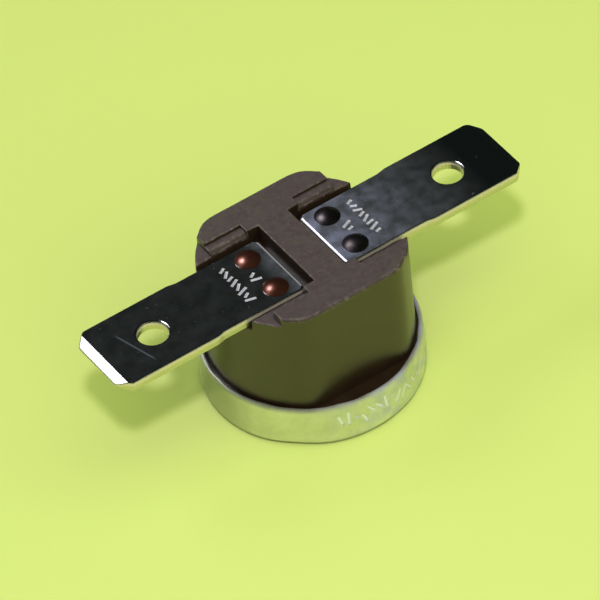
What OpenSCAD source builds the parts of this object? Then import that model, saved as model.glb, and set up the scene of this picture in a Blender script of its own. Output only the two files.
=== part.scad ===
// Bimetal disc thermostat. A dished disc in a drawn cap snaps over when it is
// hot, lifts a ceramic pin and so opens a normally closed pair of contacts in
// a moulded body. Two blade terminals lie in pockets on top of the body.
// Millimetres. The origin is the middle of the cap's underside, +Z is up
// through the body and +X runs along the right-hand terminal.

/* [Cap] */
// Outer diameter of the drawn cap
cap_dia = 15.9; // [15.4:0.1:20]
// Height of the rolled rim above the underside
cap_h = 3.55; // [3.0:0.05:4.4]
// Sheet thickness
cap_t = 0.28; // [0.2:0.01:0.4]
// Outer radius of the bottom corner
cap_corner = 0.45; // [0.32:0.01:0.7]
// How far the rim leans in over the flange
rim_lean = 0.07; // [0.03:0.01:0.12]

/* [Body] */
// Gap between the rolled rim and the round wall
rim_gap = 0.2; // [0.1:0.02:0.4]
// How deep the two flats are cut into the round wall
flat_cut = 1.07; // [0.7:0.01:1.5]
// Draft of the outer walls in degrees
draft = 0.3; // [0:0.1:1]
// Thickness of the flange under the rim
flange_t = 1.2; // [0.9:0.05:1.4]
// How far the flange stays below the top of the rim
flange_sink = 0.3; // [0.2:0.05:0.5]
// Overall height, from the cap's underside to the top of the head
total_h = 11.9; // [11:0.1:15]
// Length of the full-height block of the head
block_len = 10.4; // [9.8:0.1:12.4]
// Step down from the block to the end faces
end_drop = 0.65; // [0.4:0.05:0.9]
// Depth of the terminal pockets below the top of the head
pocket_depth = 1.5; // [1.3:0.05:1.8]
// Width of the terminal pockets
pocket_w = 6.8; // [6.5:0.05:7.6]
// Width of the bar left between the two pockets
bar_w = 2.5; // [1.6:0.1:3]
// Length of the ledges and reliefs, back from the ends of the block
ledge_len = 3.0; // [2:0.1:3.4]
// Step down to the ledge on the far side of each pocket
ledge_drop = 0.28; // [0.15:0.01:0.45]
// Width of that ledge
ledge_w = 0.84; // [0.5:0.02:1.2]
// Bevel along the pocket side of that ledge
ledge_lip = 0.3; // [0.1:0.02:0.4]
// Width of the relief on the near side of each pocket
relief_w = 0.7; // [0.4:0.02:1.1]
// Thickness of the roof between the pockets and the chamber
roof_t = 1.6; // [1.2:0.1:2]
// Thickness of the wall round the chamber
wall_t = 1.5; // [1.2:0.05:1.7]
// Thickness of the wall at the flats
flat_wall_t = 1.43; // [1.1:0.01:1.8]
// Height of the two ribs that keep each strip square to the roof
rib_h = 0.6; // [0.3:0.05:0.9]
// Thickness of those ribs
rib_t = 0.7; // [0.4:0.05:1]

/* [Terminals] */
// Distance from tip to tip
tip_to_tip = 33.95; // [30:0.05:42]
// Width of the blade
tab_w = 6.3; // [6:0.05:6.4]
// Width of the part that lies in the pocket
neck_w = 6.0; // [5.7:0.05:6.2]
// Thickness of the terminal
tab_t = 0.8; // [0.5:0.05:1]
// Diameter of the hole in the blade
tab_hole_dia = 2.25; // [1.4:0.05:2.6]
// Distance from the tip to the middle of that hole
tab_hole_inset = 4.6; // [3:0.05:5.5]
// Cut across each corner of the tip
tip_cut = 0.9; // [0.5:0.05:1.4]
// Length of the lead-in bevels at the tip
tip_bevel = 0.65; // [0.2:0.05:0.8]
// Depth of the lead-in bevels at the tip
tip_bevel_depth = 0.3; // [0.1:0.02:0.34]
// Gap between the bar and a terminal's inner end
bar_gap = 0.49; // [0.1:0.01:0.7]
// Cut across each inner corner
inner_cut = 0.25; // [0.1:0.05:0.7]

/* [Rivets] */
// Spacing of the rivets along X
rivet_dx = 6.7; // [6:0.1:7.2]
// Spacing of the rivets along Y
rivet_dy = 3.4; // [2.8:0.1:3.8]
// Diameter of the shank
shank_dia = 1.2; // [0.9:0.05:1.4]
// Diameter of the domed head
head_dia = 1.85; // [1.6:0.05:2.1]
// Height of the domed head
head_h = 0.42; // [0.2:0.02:0.5]
// Diameter of the upset end in the chamber
foot_dia = 2.0; // [1.6:0.05:2.2]
// Height of the upset end
foot_h = 0.4; // [0.25:0.05:0.5]

/* [Disc, guide and pin] */
// Radial room between the disc and the ring of the guide
disc_room = 0.2; // [0.1:0.02:0.4]
// Thickness of the disc
disc_t = 0.2; // [0.15:0.01:0.3]
// Depth of the disc's dish
dish = 0.4; // [0.25:0.01:0.5]
// Thickness of the guide's plate
guide_t = 0.7; // [0.5:0.05:0.9]
// Width of the guide's ring that stands on the cap's floor
ring_w = 0.5; // [0.4:0.05:0.8]
// Outer diameter of the collar round the pin
collar_dia = 3.4; // [2.8:0.1:4]
// Height of the collar above the plate
collar_h = 1.3; // [0.5:0.1:2]
// Diameter of the pin
pin_dia = 1.6; // [1.2:0.1:2]
// Bevel at both ends of the pin
pin_bevel = 0.2; // [0.1:0.05:0.35]

/* [Contacts] */
// Thickness of the spring arm
arm_t = 0.2; // [0.15:0.01:0.25]
// Width of the arm where it is riveted
pad_w = 5.4; // [5.0:0.05:5.6]
// Width of the arm at its free end
arm_tip_w = 2.4; // [2:0.1:3]
// Width of the arm at its bend
arm_root_w = 3.6; // [3:0.1:4]
// Level of the arm's upper face below the roof
arm_drop = 2.1; // [1.9:0.05:2.6]
// Inner radius of the arm's bends
arm_bend = 0.3; // [0.15:0.05:0.4]
// Thickness of the bracket
bracket_t = 0.4; // [0.3:0.05:0.5]
// Width of the bracket's leg and shelf
bracket_w = 3.2; // [2.6:0.1:4]
// Distance of the contacts from the middle
contact_x = 3.3; // [3:0.05:3.4]
// Diameter of both contact buttons
contact_dia = 2.0; // [1.6:0.05:2.2]
// Thickness of both contact buttons
contact_t = 0.4; // [0.3:0.05:0.5]
// Radius of the moving contact's dome
contact_dome = 5.0; // [3:0.5:12]
// Diameter of the stems of the contact buttons
stem_dia = 1.0; // [0.8:0.05:1.2]

/* [Clearances] */
// Radial clearance of the pin in its guide
pin_gap = 0.04; // [0.02:0.01:0.08]
// Radial clearance of a shank or stem in its hole
hole_gap = 0.05; // [0.02:0.01:0.08]
// Room between parts that are stacked in the cap
stack_gap = 0.02; // [0.01:0.01:0.05]

/* [Hidden] */
$fn = 96;
eps = 0.01;

// Cap
cap_r = cap_dia / 2;
cap_bore = cap_r - cap_t;
rim_from = cap_h - 0.45;

// Levels up through the stack
flange_top = cap_h - flange_sink;
flange_z = flange_top - flange_t;
plate_z = flange_z - guide_t;
disc_z = cap_t + 0.03;
disc_edge_top = disc_z + dish + disc_t;
block_z = total_h;
end_z = total_h - end_drop;
floor_z = total_h - pocket_depth;
roof_z = floor_z - roof_t;

// Body
wall_r = cap_bore - rim_lean - rim_gap;
flat_y = wall_r - flat_cut;
flange_r = cap_bore - 0.01;
taper = tan(draft);
chamber_r = wall_r - wall_t;
chamber_y = flat_y - flat_wall_t;

// Guide and disc
guide_r = cap_bore - 0.05;
ring_in = guide_r - ring_w;
disc_r = ring_in - disc_room;

// Terminals
tab_top = floor_z + tab_t;
tab_inner = bar_w / 2 + bar_gap;
tab_tip = tip_to_tip / 2;
hole_x = tab_tip - tab_hole_inset;
neck_end = wall_r + 0.95;

// Switch
pad_in = rivet_dx / 2 - 1.1;
arm_top = roof_z - arm_drop;
arm_low = arm_top - arm_t;
arm_out = rivet_dx / 2 + 1.55;
arm_end = contact_x + contact_dia / 2;
meet_z = arm_low - contact_t;
shelf_top = meet_z - contact_t;
bracket_out = rivet_dx / 2 + 1.95;
bracket_bend = 0.3;
pin_low = disc_z + disc_t + stack_gap;
pin_top = arm_low - stack_gap;
shank_hole = shank_dia + 2 * hole_gap;

// Height of the dished disc's underside at a distance r from the middle
function dish_z(r) = disc_z + dish * pow(r / disc_r, 2);

// A smooth step from 0 to 1
function ease(t) = t * t * (3 - 2 * t);

// Copies its children at the two rivets of one side
module at_rivets(side) {
    for (y = [-rivet_dy / 2, rivet_dy / 2])
        translate([side * rivet_dx / 2, y, 0]) children();
}

// A box that is centred across Y, from x1 to x2 and z1 to z2
module slab(x1, x2, w, z1, z2) {
    translate([x1, -w / 2, z1]) cube([x2 - x1, w, z2 - z1]);
}

// Cap

// Section of the cap's outside, with its rounded bottom corner
module cap_outline() {
    square([cap_r - cap_corner, cap_corner + eps]);
    translate([cap_r - cap_corner, cap_corner]) circle(cap_corner);
    polygon([
        [0, cap_corner], [cap_r, cap_corner], [cap_r, rim_from],
        [cap_r - rim_lean, cap_h - 0.08], [cap_r - rim_lean - 0.06, cap_h], [0, cap_h]
    ]);
}

// Section of the cap's inside, which leans in with the rim
module cap_hollow() {
    corner = cap_corner - cap_t;
    translate([0, cap_t]) square([cap_bore - corner, corner + eps]);
    translate([cap_bore - corner, cap_corner]) circle(corner);
    polygon([
        [0, cap_corner], [cap_bore, cap_corner], [cap_bore, rim_from - 0.15],
        [cap_bore - rim_lean, cap_h - 0.06], [cap_bore - rim_lean + 0.06, cap_h],
        [cap_bore - rim_lean + 0.06, cap_h + 1], [0, cap_h + 1]
    ]);
}

module cap() {
    color("#b9bfb4")
        rotate_extrude() intersection() {
            difference() {
                cap_outline();
                cap_hollow();
            }
            square([cap_r + 1, cap_h + 1]);
        }
}

// Disc, guide and pin

module bimetal_disc() {
    steps = 8;
    radii = [for (i = [0:steps]) disc_r * i / steps];
    under = [for (r = radii) [r, dish_z(r)]];
    upper = [for (i = [steps:-1:0]) [radii[i], dish_z(radii[i]) + disc_t]];
    color("#a9a294") rotate_extrude() polygon(concat(under, upper));
}

// The ring stands on the cap's floor round the disc, the step above the disc's
// edge keeps the disc down, and the collar guides the pin
module pin_guide() {
    bore = pin_dia / 2 + pin_gap;
    step_in = disc_r - 0.6;
    step_z = disc_edge_top + stack_gap;
    foot = cap_corner - cap_t + 0.08;
    color("#3a3230") rotate_extrude() polygon([
        [bore, plate_z], [step_in, plate_z], [step_in, step_z], [ring_in, step_z],
        [ring_in, cap_t], [guide_r - foot, cap_t], [guide_r, cap_t + foot],
        [guide_r, flange_z], [collar_dia / 2, flange_z],
        [collar_dia / 2, flange_z + collar_h], [bore, flange_z + collar_h]
    ]);
}

module transfer_pin() {
    r = pin_dia / 2;
    color("#e9e4d8") rotate_extrude() polygon([
        [0, pin_low], [r - pin_bevel, pin_low], [r, pin_low + pin_bevel],
        [r, pin_top - pin_bevel], [r - pin_bevel, pin_top], [0, pin_top]
    ]);
}

// Body

// Flange with its edge tapered to take the rolled rim
module flange() {
    straight = rim_from - 0.15 - flange_z;
    translate([0, 0, flange_z]) cylinder(r = flange_r, h = straight);
    translate([0, 0, flange_z + straight - eps])
        cylinder(r1 = flange_r, r2 = flange_r - rim_lean, h = flange_t - straight + eps);
}

// Keeps what lies inside the two drafted flats and their softened corners
module within_flats() {
    rise = total_h - flange_top;
    corner_x = sqrt(wall_r * wall_r - flat_y * flat_y);
    turn = asin(corner_x / wall_r);
    soft = wall_r * cos(turn / 2) - 0.06;
    difference() {
        children();
        for (a = [0, 180]) rotate([0, 0, a]) {
            translate([0, flat_y, flange_top]) rotate([draft, 0, 0])
                translate([-wall_r, 0, 0]) cube([2 * wall_r, 2, rise + 1]);
            for (s = [-1, 1]) rotate([0, 0, s * turn / 2])
                translate([0, soft, flange_top]) rotate([draft, 0, 0])
                    translate([-1.5, 0, 0]) cube([3, 2, rise + 1]);
        }
    }
}

// One end of the head: the end face, the pocket, its ledge and its relief
module head_end() {
    back = block_len / 2;
    far = wall_r + 1;
    side = pocket_w / 2;
    ledge_z = block_z - ledge_drop;
    slab(back, far, 2 * far, end_z, block_z + 1);
    slab(bar_w / 2, far, pocket_w, floor_z, block_z + 1);
    translate([back - ledge_len, side - eps, ledge_z])
        cube([ledge_len + eps, ledge_w + eps, 1]);
    translate([back - ledge_len, -side - relief_w, end_z])
        cube([ledge_len + eps, relief_w + eps, 1 + end_drop]);
    translate([back - ledge_len, side, ledge_z]) rotate([90, 0, 90]) linear_extrude(ledge_len + eps)
        polygon([[-eps, 1], [-eps, -ledge_lip - eps], [ledge_lip, 0], [ledge_lip, 1]]);
}

// The chamber under the roof, open to the cap
module chamber() {
    intersection() {
        translate([0, 0, flange_z - eps]) cylinder(r = chamber_r, h = roof_z - flange_z + eps);
        slab(-wall_r, wall_r, 2 * chamber_y, flange_z - 1, total_h);
    }
}

// Ribs on the roof at both sides of each riveted strip
module ribs() {
    rib_y = pad_w / 2 + 0.08;
    for (sx = [-1, 1], sy = [-1, 1])
        translate([sx * rivet_dx / 2 - 1.3, sy * (rib_y + rib_t / 2) - rib_t / 2, roof_z - rib_h])
            cube([2.6, rib_t, rib_h + eps]);
}

module body() {
    rise = total_h - flange_top;
    color("#4a403e") difference() {
        union() {
            difference() {
                union() {
                    flange();
                    within_flats() translate([0, 0, flange_top - eps])
                        cylinder(r1 = wall_r, r2 = wall_r - rise * taper, h = rise + eps);
                }
                head_end();
                mirror([1, 0, 0]) head_end();
                chamber();
            }
            ribs();
        }
        for (s = [-1, 1]) at_rivets(s)
            translate([0, 0, roof_z - 1]) cylinder(d = shank_hole, h = roof_t + 2);
    }
}

// Terminals

// Outline of one terminal from its inner end to its tip, wider outside the body
module terminal_outline() {
    n = neck_w / 2;
    w = tab_w / 2;
    run = 0.9;
    swell = [for (i = [0:6]) [neck_end + run * i / 6, n + (w - n) * ease(i / 6)]];
    edge = concat(
        [[tab_inner, n - inner_cut], [tab_inner + inner_cut, n]],
        swell,
        [[tab_tip - tip_cut, w], [tab_tip, w - tip_cut]]
    );
    last = len(edge) - 1;
    polygon(concat(edge, [for (i = [last:-1:0]) [edge[i].x, -edge[i].y]]));
}

// Wedge that cuts the lead-in bevel above the tip
module bevel_wedge() {
    translate([0, tab_w, 0]) rotate([90, 0, 0]) linear_extrude(2 * tab_w)
        polygon([
            [tab_tip - tip_bevel, tab_t / 2],
            [tab_tip + tip_bevel, tab_t / 2 - 2 * tip_bevel_depth],
            [tab_tip + tip_bevel, tab_t]
        ]);
}

module terminal() {
    translate([0, 0, floor_z + tab_t / 2]) difference() {
        translate([0, 0, -tab_t / 2]) linear_extrude(tab_t) terminal_outline();
        bevel_wedge();
        mirror([0, 0, 1]) bevel_wedge();
        translate([hole_x, 0, -tab_t]) cylinder(d = tab_hole_dia, h = 2 * tab_t);
        at_rivets(1) translate([0, 0, -tab_t]) cylinder(d = shank_hole, h = 2 * tab_t);
    }
}

module terminal_left() {
    color("#8d9296") mirror([1, 0, 0]) terminal();
}

module terminal_right() {
    color("#8d9296") terminal();
}

// Rivets

// A rivet with a domed head on the terminal and an upset end under a strip
module rivet(strip_t) {
    dome_r = (pow(head_dia / 2, 2) + head_h * head_h) / (2 * head_h);
    foot_z = roof_z - strip_t - foot_h;
    intersection() {
        translate([0, 0, tab_top + head_h - dome_r]) sphere(dome_r);
        translate([0, 0, tab_top]) cylinder(d = head_dia, h = head_h + 1);
    }
    translate([0, 0, foot_z]) cylinder(d = shank_dia, h = tab_top - foot_z + eps);
    translate([0, 0, foot_z]) cylinder(d1 = foot_dia - 0.3, d2 = foot_dia, h = foot_h);
}

module rivet_at(sx, sy, strip_t, tint) {
    color(tint) translate([sx * rivet_dx / 2, sy * rivet_dy / 2, 0]) rivet(strip_t);
}

module rivet_left_far() {
    rivet_at(-1, 1, arm_t, "#a9705a");
}

module rivet_left_near() {
    rivet_at(-1, -1, arm_t, "#a9705a");
}

module rivet_right_far() {
    rivet_at(1, 1, bracket_t, "#6f6a68");
}

module rivet_right_near() {
    rivet_at(1, -1, bracket_t, "#6f6a68");
}

// Contacts

// Side view of a strip that leaves the roof, turns down at x = out and turns in
// again at the level low. It is drawn with the roof at 0 and the turns at +X.
module strip_side(x_pad, x_end, out, low, t, r) {
    ro = r + t;
    translate([x_pad, -t]) square([out - ro - x_pad, t]);
    translate([x_end, low]) square([out - ro - x_end, t]);
    translate([out - t, low + ro]) square([t, -low - 2 * ro]);
    for (flip = [0, 1]) {
        translate([out - ro, flip == 0 ? -ro : low + ro]) mirror([0, flip]) intersection() {
            difference() {
                circle(ro);
                circle(r);
            }
            square(ro);
        }
    }
}

// Stands a side view up across a width w, with its roof line at roof_z
module across(w) {
    translate([0, w / 2, roof_z]) rotate([90, 0, 0]) linear_extrude(w) children();
}

// Plan of the arm's blade, which narrows from its bend to its rounded tip
module blade_plan() {
    polygon([
        [-arm_out - 1, arm_root_w / 2], [-arm_out + 1.5, arm_root_w / 2],
        [contact_x, arm_tip_w / 2], [contact_x, -arm_tip_w / 2],
        [-arm_out + 1.5, -arm_root_w / 2], [-arm_out - 1, -arm_root_w / 2]
    ]);
    translate([contact_x, 0]) circle(d = arm_tip_w);
}

module contact_arm() {
    bend_x = arm_out - arm_bend - arm_t;
    color("#b5824a") difference() {
        intersection() {
            mirror([1, 0, 0]) across(pad_w)
                strip_side(pad_in, -arm_end - 1, arm_out, -arm_drop - arm_t, arm_t, arm_bend);
            union() {
                translate([-bend_x, -pad_w, roof_z - arm_bend - arm_t]) cube([pad_w, 2 * pad_w, 2]);
                translate([0, 0, arm_low - 1]) linear_extrude(arm_drop + 2) blade_plan();
            }
        }
        at_rivets(-1) translate([0, 0, roof_z - 1]) cylinder(d = shank_hole, h = 2);
        translate([contact_x, 0, arm_low - 1]) cylinder(d = stem_dia + 2 * hole_gap, h = 2);
    }
}

module contact_bracket() {
    low = shelf_top - bracket_t - roof_z;
    bend_x = bracket_out - bracket_bend - bracket_t;
    color("#c7a253") difference() {
        intersection() {
            across(pad_w) strip_side(
                pad_in, contact_x - contact_dia / 2 - 0.15, bracket_out, low, bracket_t, bracket_bend
            );
            union() {
                translate([bend_x - pad_w, -pad_w, roof_z - bracket_t])
                    cube([pad_w, 2 * pad_w, 2]);
                slab(0, bracket_out + 1, bracket_w, roof_z + low - 1, roof_z + 1);
            }
        }
        at_rivets(1) translate([0, 0, roof_z - 1]) cylinder(d = shank_hole, h = 2);
        translate([contact_x, 0, shelf_top - 1]) cylinder(d = stem_dia + 2 * hole_gap, h = 2);
    }
}

module fixed_contact() {
    color("#d3d3cf") translate([contact_x, 0, shelf_top]) {
        cylinder(d = contact_dia, h = contact_t);
        translate([0, 0, -bracket_t - 0.15]) cylinder(d = stem_dia, h = bracket_t + 0.2);
        translate([0, 0, -bracket_t - 0.15]) cylinder(d = stem_dia + 0.4, h = 0.15);
    }
}

// The button's lower face is a shallow dome that touches the fixed contact
module moving_contact() {
    color("#d3d3cf") translate([contact_x, 0, 0]) {
        intersection() {
            translate([0, 0, meet_z]) cylinder(d = contact_dia, h = contact_t - stack_gap);
            translate([0, 0, meet_z + contact_dome]) sphere(contact_dome, $fn = 180);
        }
        translate([0, 0, arm_low - stack_gap - 0.05])
            cylinder(d = stem_dia, h = arm_t + 2 * stack_gap + 0.1);
        translate([0, 0, arm_top + stack_gap]) cylinder(d = stem_dia + 0.4, h = 0.15);
    }
}

cap();
bimetal_disc();
pin_guide();
transfer_pin();
body();
terminal_left();
terminal_right();
rivet_left_far();
rivet_left_near();
rivet_right_far();
rivet_right_near();
contact_arm();
moving_contact();
fixed_contact();
contact_bracket();
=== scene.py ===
import math
import random
from functools import partial

import bmesh
import bpy
from mathutils import Matrix, Vector, noise


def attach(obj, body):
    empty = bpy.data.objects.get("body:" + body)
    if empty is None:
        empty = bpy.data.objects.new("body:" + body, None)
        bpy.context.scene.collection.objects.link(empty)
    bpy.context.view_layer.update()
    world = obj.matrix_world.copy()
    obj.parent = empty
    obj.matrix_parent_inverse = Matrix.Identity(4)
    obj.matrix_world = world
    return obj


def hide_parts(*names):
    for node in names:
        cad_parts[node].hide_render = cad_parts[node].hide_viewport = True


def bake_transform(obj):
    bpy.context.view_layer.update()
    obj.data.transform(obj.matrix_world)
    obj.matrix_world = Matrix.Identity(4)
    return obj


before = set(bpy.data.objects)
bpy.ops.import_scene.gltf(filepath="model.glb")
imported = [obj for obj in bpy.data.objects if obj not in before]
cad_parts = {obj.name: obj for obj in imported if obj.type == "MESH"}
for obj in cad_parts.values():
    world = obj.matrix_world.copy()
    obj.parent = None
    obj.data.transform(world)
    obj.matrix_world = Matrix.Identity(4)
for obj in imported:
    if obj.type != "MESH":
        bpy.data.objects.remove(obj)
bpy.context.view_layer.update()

mm = 0.001


def fromHex(text):
    # an sRGB hex colour as linear RGBA
    parts = [int(text[i:i + 2], 16) / 255 for i in (1, 3, 5)]
    return [c / 12.92 if c <= 0.04045 else ((c + 0.055) / 1.055) ** 2.4 for c in parts] + [1]


def addNode(tree, kind, inputs=(), stops=(), **settings):
    # adds a node and gives its outputs; inputs are values or sockets to link, stops fill a colour ramp
    node = tree.nodes.new(kind)
    for name, value in settings.items():
        setattr(node, name, value)
    if stops:
        ramp = node.color_ramp
        while len(ramp.elements) < len(stops):
            ramp.elements.new(1)
        for element, (place, value) in zip(ramp.elements, stops):
            element.position, element.color = place, fromHex(value)
    for name, value in dict(inputs).items():
        if isinstance(value, bpy.types.NodeSocket):
            tree.links.new(value, node.inputs[name])
        else:
            node.inputs[name].default_value = value
    return node.outputs


def newMaterial(name, paint):
    # paint(add) gives the inputs of the Principled shader, with the nodes that add makes
    material = bpy.data.materials.new(name)
    material.use_nodes = True
    tree = material.node_tree
    tree.nodes.clear()
    add = partial(addNode, tree)
    shader = add("ShaderNodeBsdfPrincipled", paint(add))
    add("ShaderNodeOutputMaterial", {"Surface": shader[0]})
    return material


def plainMesh(name, bm, modify):
    # runs modifiers on a bmesh and gives the result as a plain mesh
    raw = bpy.data.meshes.new(name + "_raw")
    bm.to_mesh(raw)
    bm.free()
    holder = bpy.data.objects.new(name + "_holder", raw)
    bpy.context.collection.objects.link(holder)
    extras = modify(holder) or []
    graph = bpy.context.evaluated_depsgraph_get()
    mesh = bpy.data.meshes.new_from_object(holder.evaluated_get(graph), depsgraph=graph)
    for item in [holder] + extras:
        bpy.data.objects.remove(item)
    mesh.name = name
    return mesh


def roundEdges(name, bm, radiusOf, widest, segments=3):
    # rounds each edge by its own radius, and marks the rounded faces in an attribute, which the moulding's
    # painted edge highlight reads
    weight = bm.edges.layers.float.new("bevel_weight_edge")
    for edge in bm.edges:
        if edge.is_manifold:
            edge[weight] = radiusOf(edge) / widest

    def modify(holder):
        for _ in range(2):
            holder.data.materials.append(None)
        bevel = holder.modifiers.new("round", "BEVEL")
        bevel.limit_method, bevel.width, bevel.segments = "WEIGHT", widest, segments
        bevel.use_clamp_overlap, bevel.material = False, 1

    mesh = plainMesh(name, bm, modify)
    rounded = [float(face.material_index == 1) for face in mesh.polygons]
    mesh.polygons.foreach_set("material_index", [0] * len(mesh.polygons))
    mesh.materials.clear()
    mesh.attributes.new("roundedFaces", "FLOAT", "FACE").data.foreach_set("value", rounded)
    return mesh


def addPiece(name, mesh, material, nodes, crease=40, weigh=False, body="housing"):
    # stands a mesh in metres up as a piece in place of its CAD nodes
    mesh.shade_smooth()
    mesh.set_sharp_from_angle(angle=math.radians(crease))
    mesh.materials.clear()
    mesh.materials.append(material)
    piece = bpy.data.objects.new(name, mesh)
    bpy.context.collection.objects.link(piece)
    if weigh:
        # keeps wide faces flat beside their narrow rounded edges
        piece.modifiers.new("weigh", "WEIGHTED_NORMAL").keep_sharp = True
    if body:
        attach(piece, body)
    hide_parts(*nodes)
    return piece


def sliceAcross(bm, place, normal, near=1e-4):
    # cuts every face along a plane and keeps both sides
    bmesh.ops.bisect_plane(
        bm, geom=bm.verts[:] + bm.edges[:] + bm.faces[:], plane_co=place, plane_no=normal, dist=near)


def helperObject(name, bm):
    mesh = bpy.data.meshes.new(name)
    bm.to_mesh(mesh)
    bm.free()
    item = bpy.data.objects.new(name, mesh)
    bpy.context.collection.objects.link(item)
    return item


def combine(holder, operation, item):
    modifier = holder.modifiers.new(operation, "BOOLEAN")
    modifier.operation, modifier.solver, modifier.object = operation, "EXACT", item


def rivetBores(spots, radius, middle, depth):
    # the tools that cut the rivet holes
    bores = bmesh.new()
    for x, y in spots:
        bmesh.ops.create_cone(bores, cap_ends=True, segments=40, radius1=radius, radius2=radius, depth=depth,
                              matrix=Matrix.Translation((x, y, middle)))
    return helperObject("bores", bores)


def toMetres(mesh):
    mesh.transform(Matrix.Scale(mm, 4))
    return mesh


def between(low, high):
    # the range that comes into a Map Range node, from places in mm
    return {"From Min": low * mm, "From Max": high * mm}


def ease(t):
    t = min(max(t, 0), 1)
    return t * t * (3 - 2 * t)


# camera, floor and lamps

stage = {
    "azimuth": 30.33, "elevation": 45.15, "roll": -6.19,  # the way the photo looks, in degrees
    "distance": 450, "pixels": 600, "scale": 14.424,  # mm, the picture's side, and pixels for one mm
    "aim": (307.19, 304.45), "aimHeight": 6,  # the pixel that shows the part's axis at this height
    "floor": "#daee84", "surround": (0.011, 0.015, 0.014, 1),
}
lamps = {  # direction from the part, distance and diameter in metres, power in watts, colour, what it does
    "key": ((-0.268, -0.457, 0.848), 0.5, 0.04, 1.22, (0.78, 0.67, 1), "lights"),
    "overhead": ((0.02, -0.45, 0.89), 0.55, 0.95, 3.2, (0.95, 1, 0.6), "lights"),
    "overhead sheen": ((0.02, -0.45, 0.89), 0.55, 0.95, 1.25, (0.95, 1, 0.6), "glints"),
    "front": ((0.3, -0.9, 0.32), 0.6, 0.4, 0.3, (1, 1, 0.72), "both"),
    "window": ((-0.3, 0.58, 0.76), 0.5, 0.25, 0.34, (0.96, 0.96, 1), "both"),
    "window gap": ((-0.33, 0.45, 0.83), 0.5, 0.19, 1.05, (1, 0.95, 1), "glints"),
    "side window": ((-0.8, 0.25, 0.55), 0.5, 0.2, 0.16, (0.96, 0.96, 1), "both"),
}


def addCamera(view):
    az, el, roll = (math.radians(view[key]) for key in ("azimuth", "elevation", "roll"))
    look = Vector((math.sin(az) * math.cos(el), math.cos(az) * math.cos(el), -math.sin(el)))
    side = Vector((math.cos(az), -math.sin(az), 0))
    up = side.cross(look)
    right = side * math.cos(roll) + up * math.sin(roll)
    top = -side * math.sin(roll) + up * math.cos(roll)
    place = Vector((0, 0, view["aimHeight"])) - look * view["distance"]
    across, down = (p - view["pixels"] / 2 for p in view["aim"])
    place += (top * down - right * across) / view["scale"]
    data = bpy.data.cameras.new("camera")
    data.sensor_width = 36
    data.lens = data.sensor_width * view["scale"] * view["distance"] / view["pixels"]
    data.clip_start, data.clip_end = 0.01, 10
    camera = bpy.data.objects.new("camera", data)
    bpy.context.collection.objects.link(camera)
    turn = Matrix((right, top, -look)).transposed().to_4x4()
    camera.matrix_world = Matrix.Translation(place * mm) @ turn
    bpy.context.scene.camera = camera


def addLamp(name, toward, distance, size, power, colour, role):
    data = bpy.data.lights.new(name, "AREA")
    data.shape, data.size, data.energy, data.color = "DISK", size, power, colour
    lamp = bpy.data.objects.new(name, data)
    bpy.context.collection.objects.link(lamp)
    direction = Vector(toward).normalized()
    lamp.location = direction * distance + Vector((0, 0, stage["aimHeight"] * mm))
    lamp.rotation_euler = direction.to_track_quat("Z", "Y").to_euler()
    # the photo has no mirror image of the light that casts the shadow, and only a weak one of the soft light
    lamp.visible_glossy = role != "lights"
    lamp.visible_diffuse = role != "glints"


def addFloor(view):
    mesh = bpy.data.meshes.new("floor")
    mesh.from_pydata([(-3, -3, 0), (3, -3, 0), (3, 3, 0), (-3, 3, 0)], [], [(0, 1, 2, 3)])
    floor = bpy.data.objects.new("floor", mesh)
    bpy.context.collection.objects.link(floor)
    mesh.materials.append(newMaterial("matt card", lambda add: {
        "Base Color": fromHex(view["floor"]), "Roughness": 0.9, "Specular IOR Level": 0.2,
    }))


addCamera(stage)
addFloor(stage)
for lampName, values in lamps.items():
    addLamp(lampName, *values)
world = bpy.data.worlds.new("surround")
bpy.context.scene.world = world
world.use_nodes = True
world.node_tree.nodes["Background"].inputs["Color"].default_value = stage["surround"]
bpy.context.scene.view_settings.view_transform = "Standard"
print("stage set")


# body: a phenolic moulding

bodySize = {  # mm
    "top": 11.9, "end": 11.25, "floor": 10.4, "ledge": 11.62,  # levels of the head
    "block": 5.2, "bar": 1.25, "ledgeFrom": 2.2, "pocket": 3.4,  # half lengths in plan
    "ledgeTo": 4.24, "reliefTo": -4.1, "lip": 0.3,
    "wall": 7.4, "flat": 6.33, "blend": 0.45, "draft": 0.3, "points": 132, "clear": 0.5, "ringBelow": 0.35,
    "foot": 3.25, "flange": 7.66, "flangeLean": 0.07, "flangeKnee": 2.95, "flangeFrom": 2.05,
    "chamber": 5.9, "chamberFlat": 4.9, "roof": 8.8,
    "rivetX": 3.35, "rivetY": 1.7, "rivetHole": 0.65,
    "ribLength": 2.6, "ribFrom": 2.78, "ribTo": 3.48, "ribDepth": 0.6, "ribSunk": 0.3,
    "outerRound": 0.24, "lipRound": 0.12, "innerRound": 0.1,
    "dust": (10.6, 11.2), "pocketSide": 3.45,  # where dust sets in, and how far out a pocket's walls are
}


def flattenedRound(angle, radius, flat, blend):
    # reach of a circle with two flats, its corners blended
    across = flat / max(abs(math.sin(angle)), 1e-6)
    h = min(max(0.5 + 0.5 * (across - radius) / blend, 0), 1)
    return across + (radius - across) * h - blend * h * (1 - h)


def cutLines(body):
    # the lines that cut the head's plan, as an axis and a place on it
    across = [side * x for x in (body["bar"], body["ledgeFrom"], body["block"]) for side in (-1, 1)]
    along = [body["pocket"], body["pocket"] + body["lip"], body["ledgeTo"], -body["pocket"], body["reliefTo"]]
    return [(0, x) for x in across] + [(1, y) for y in along]


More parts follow.
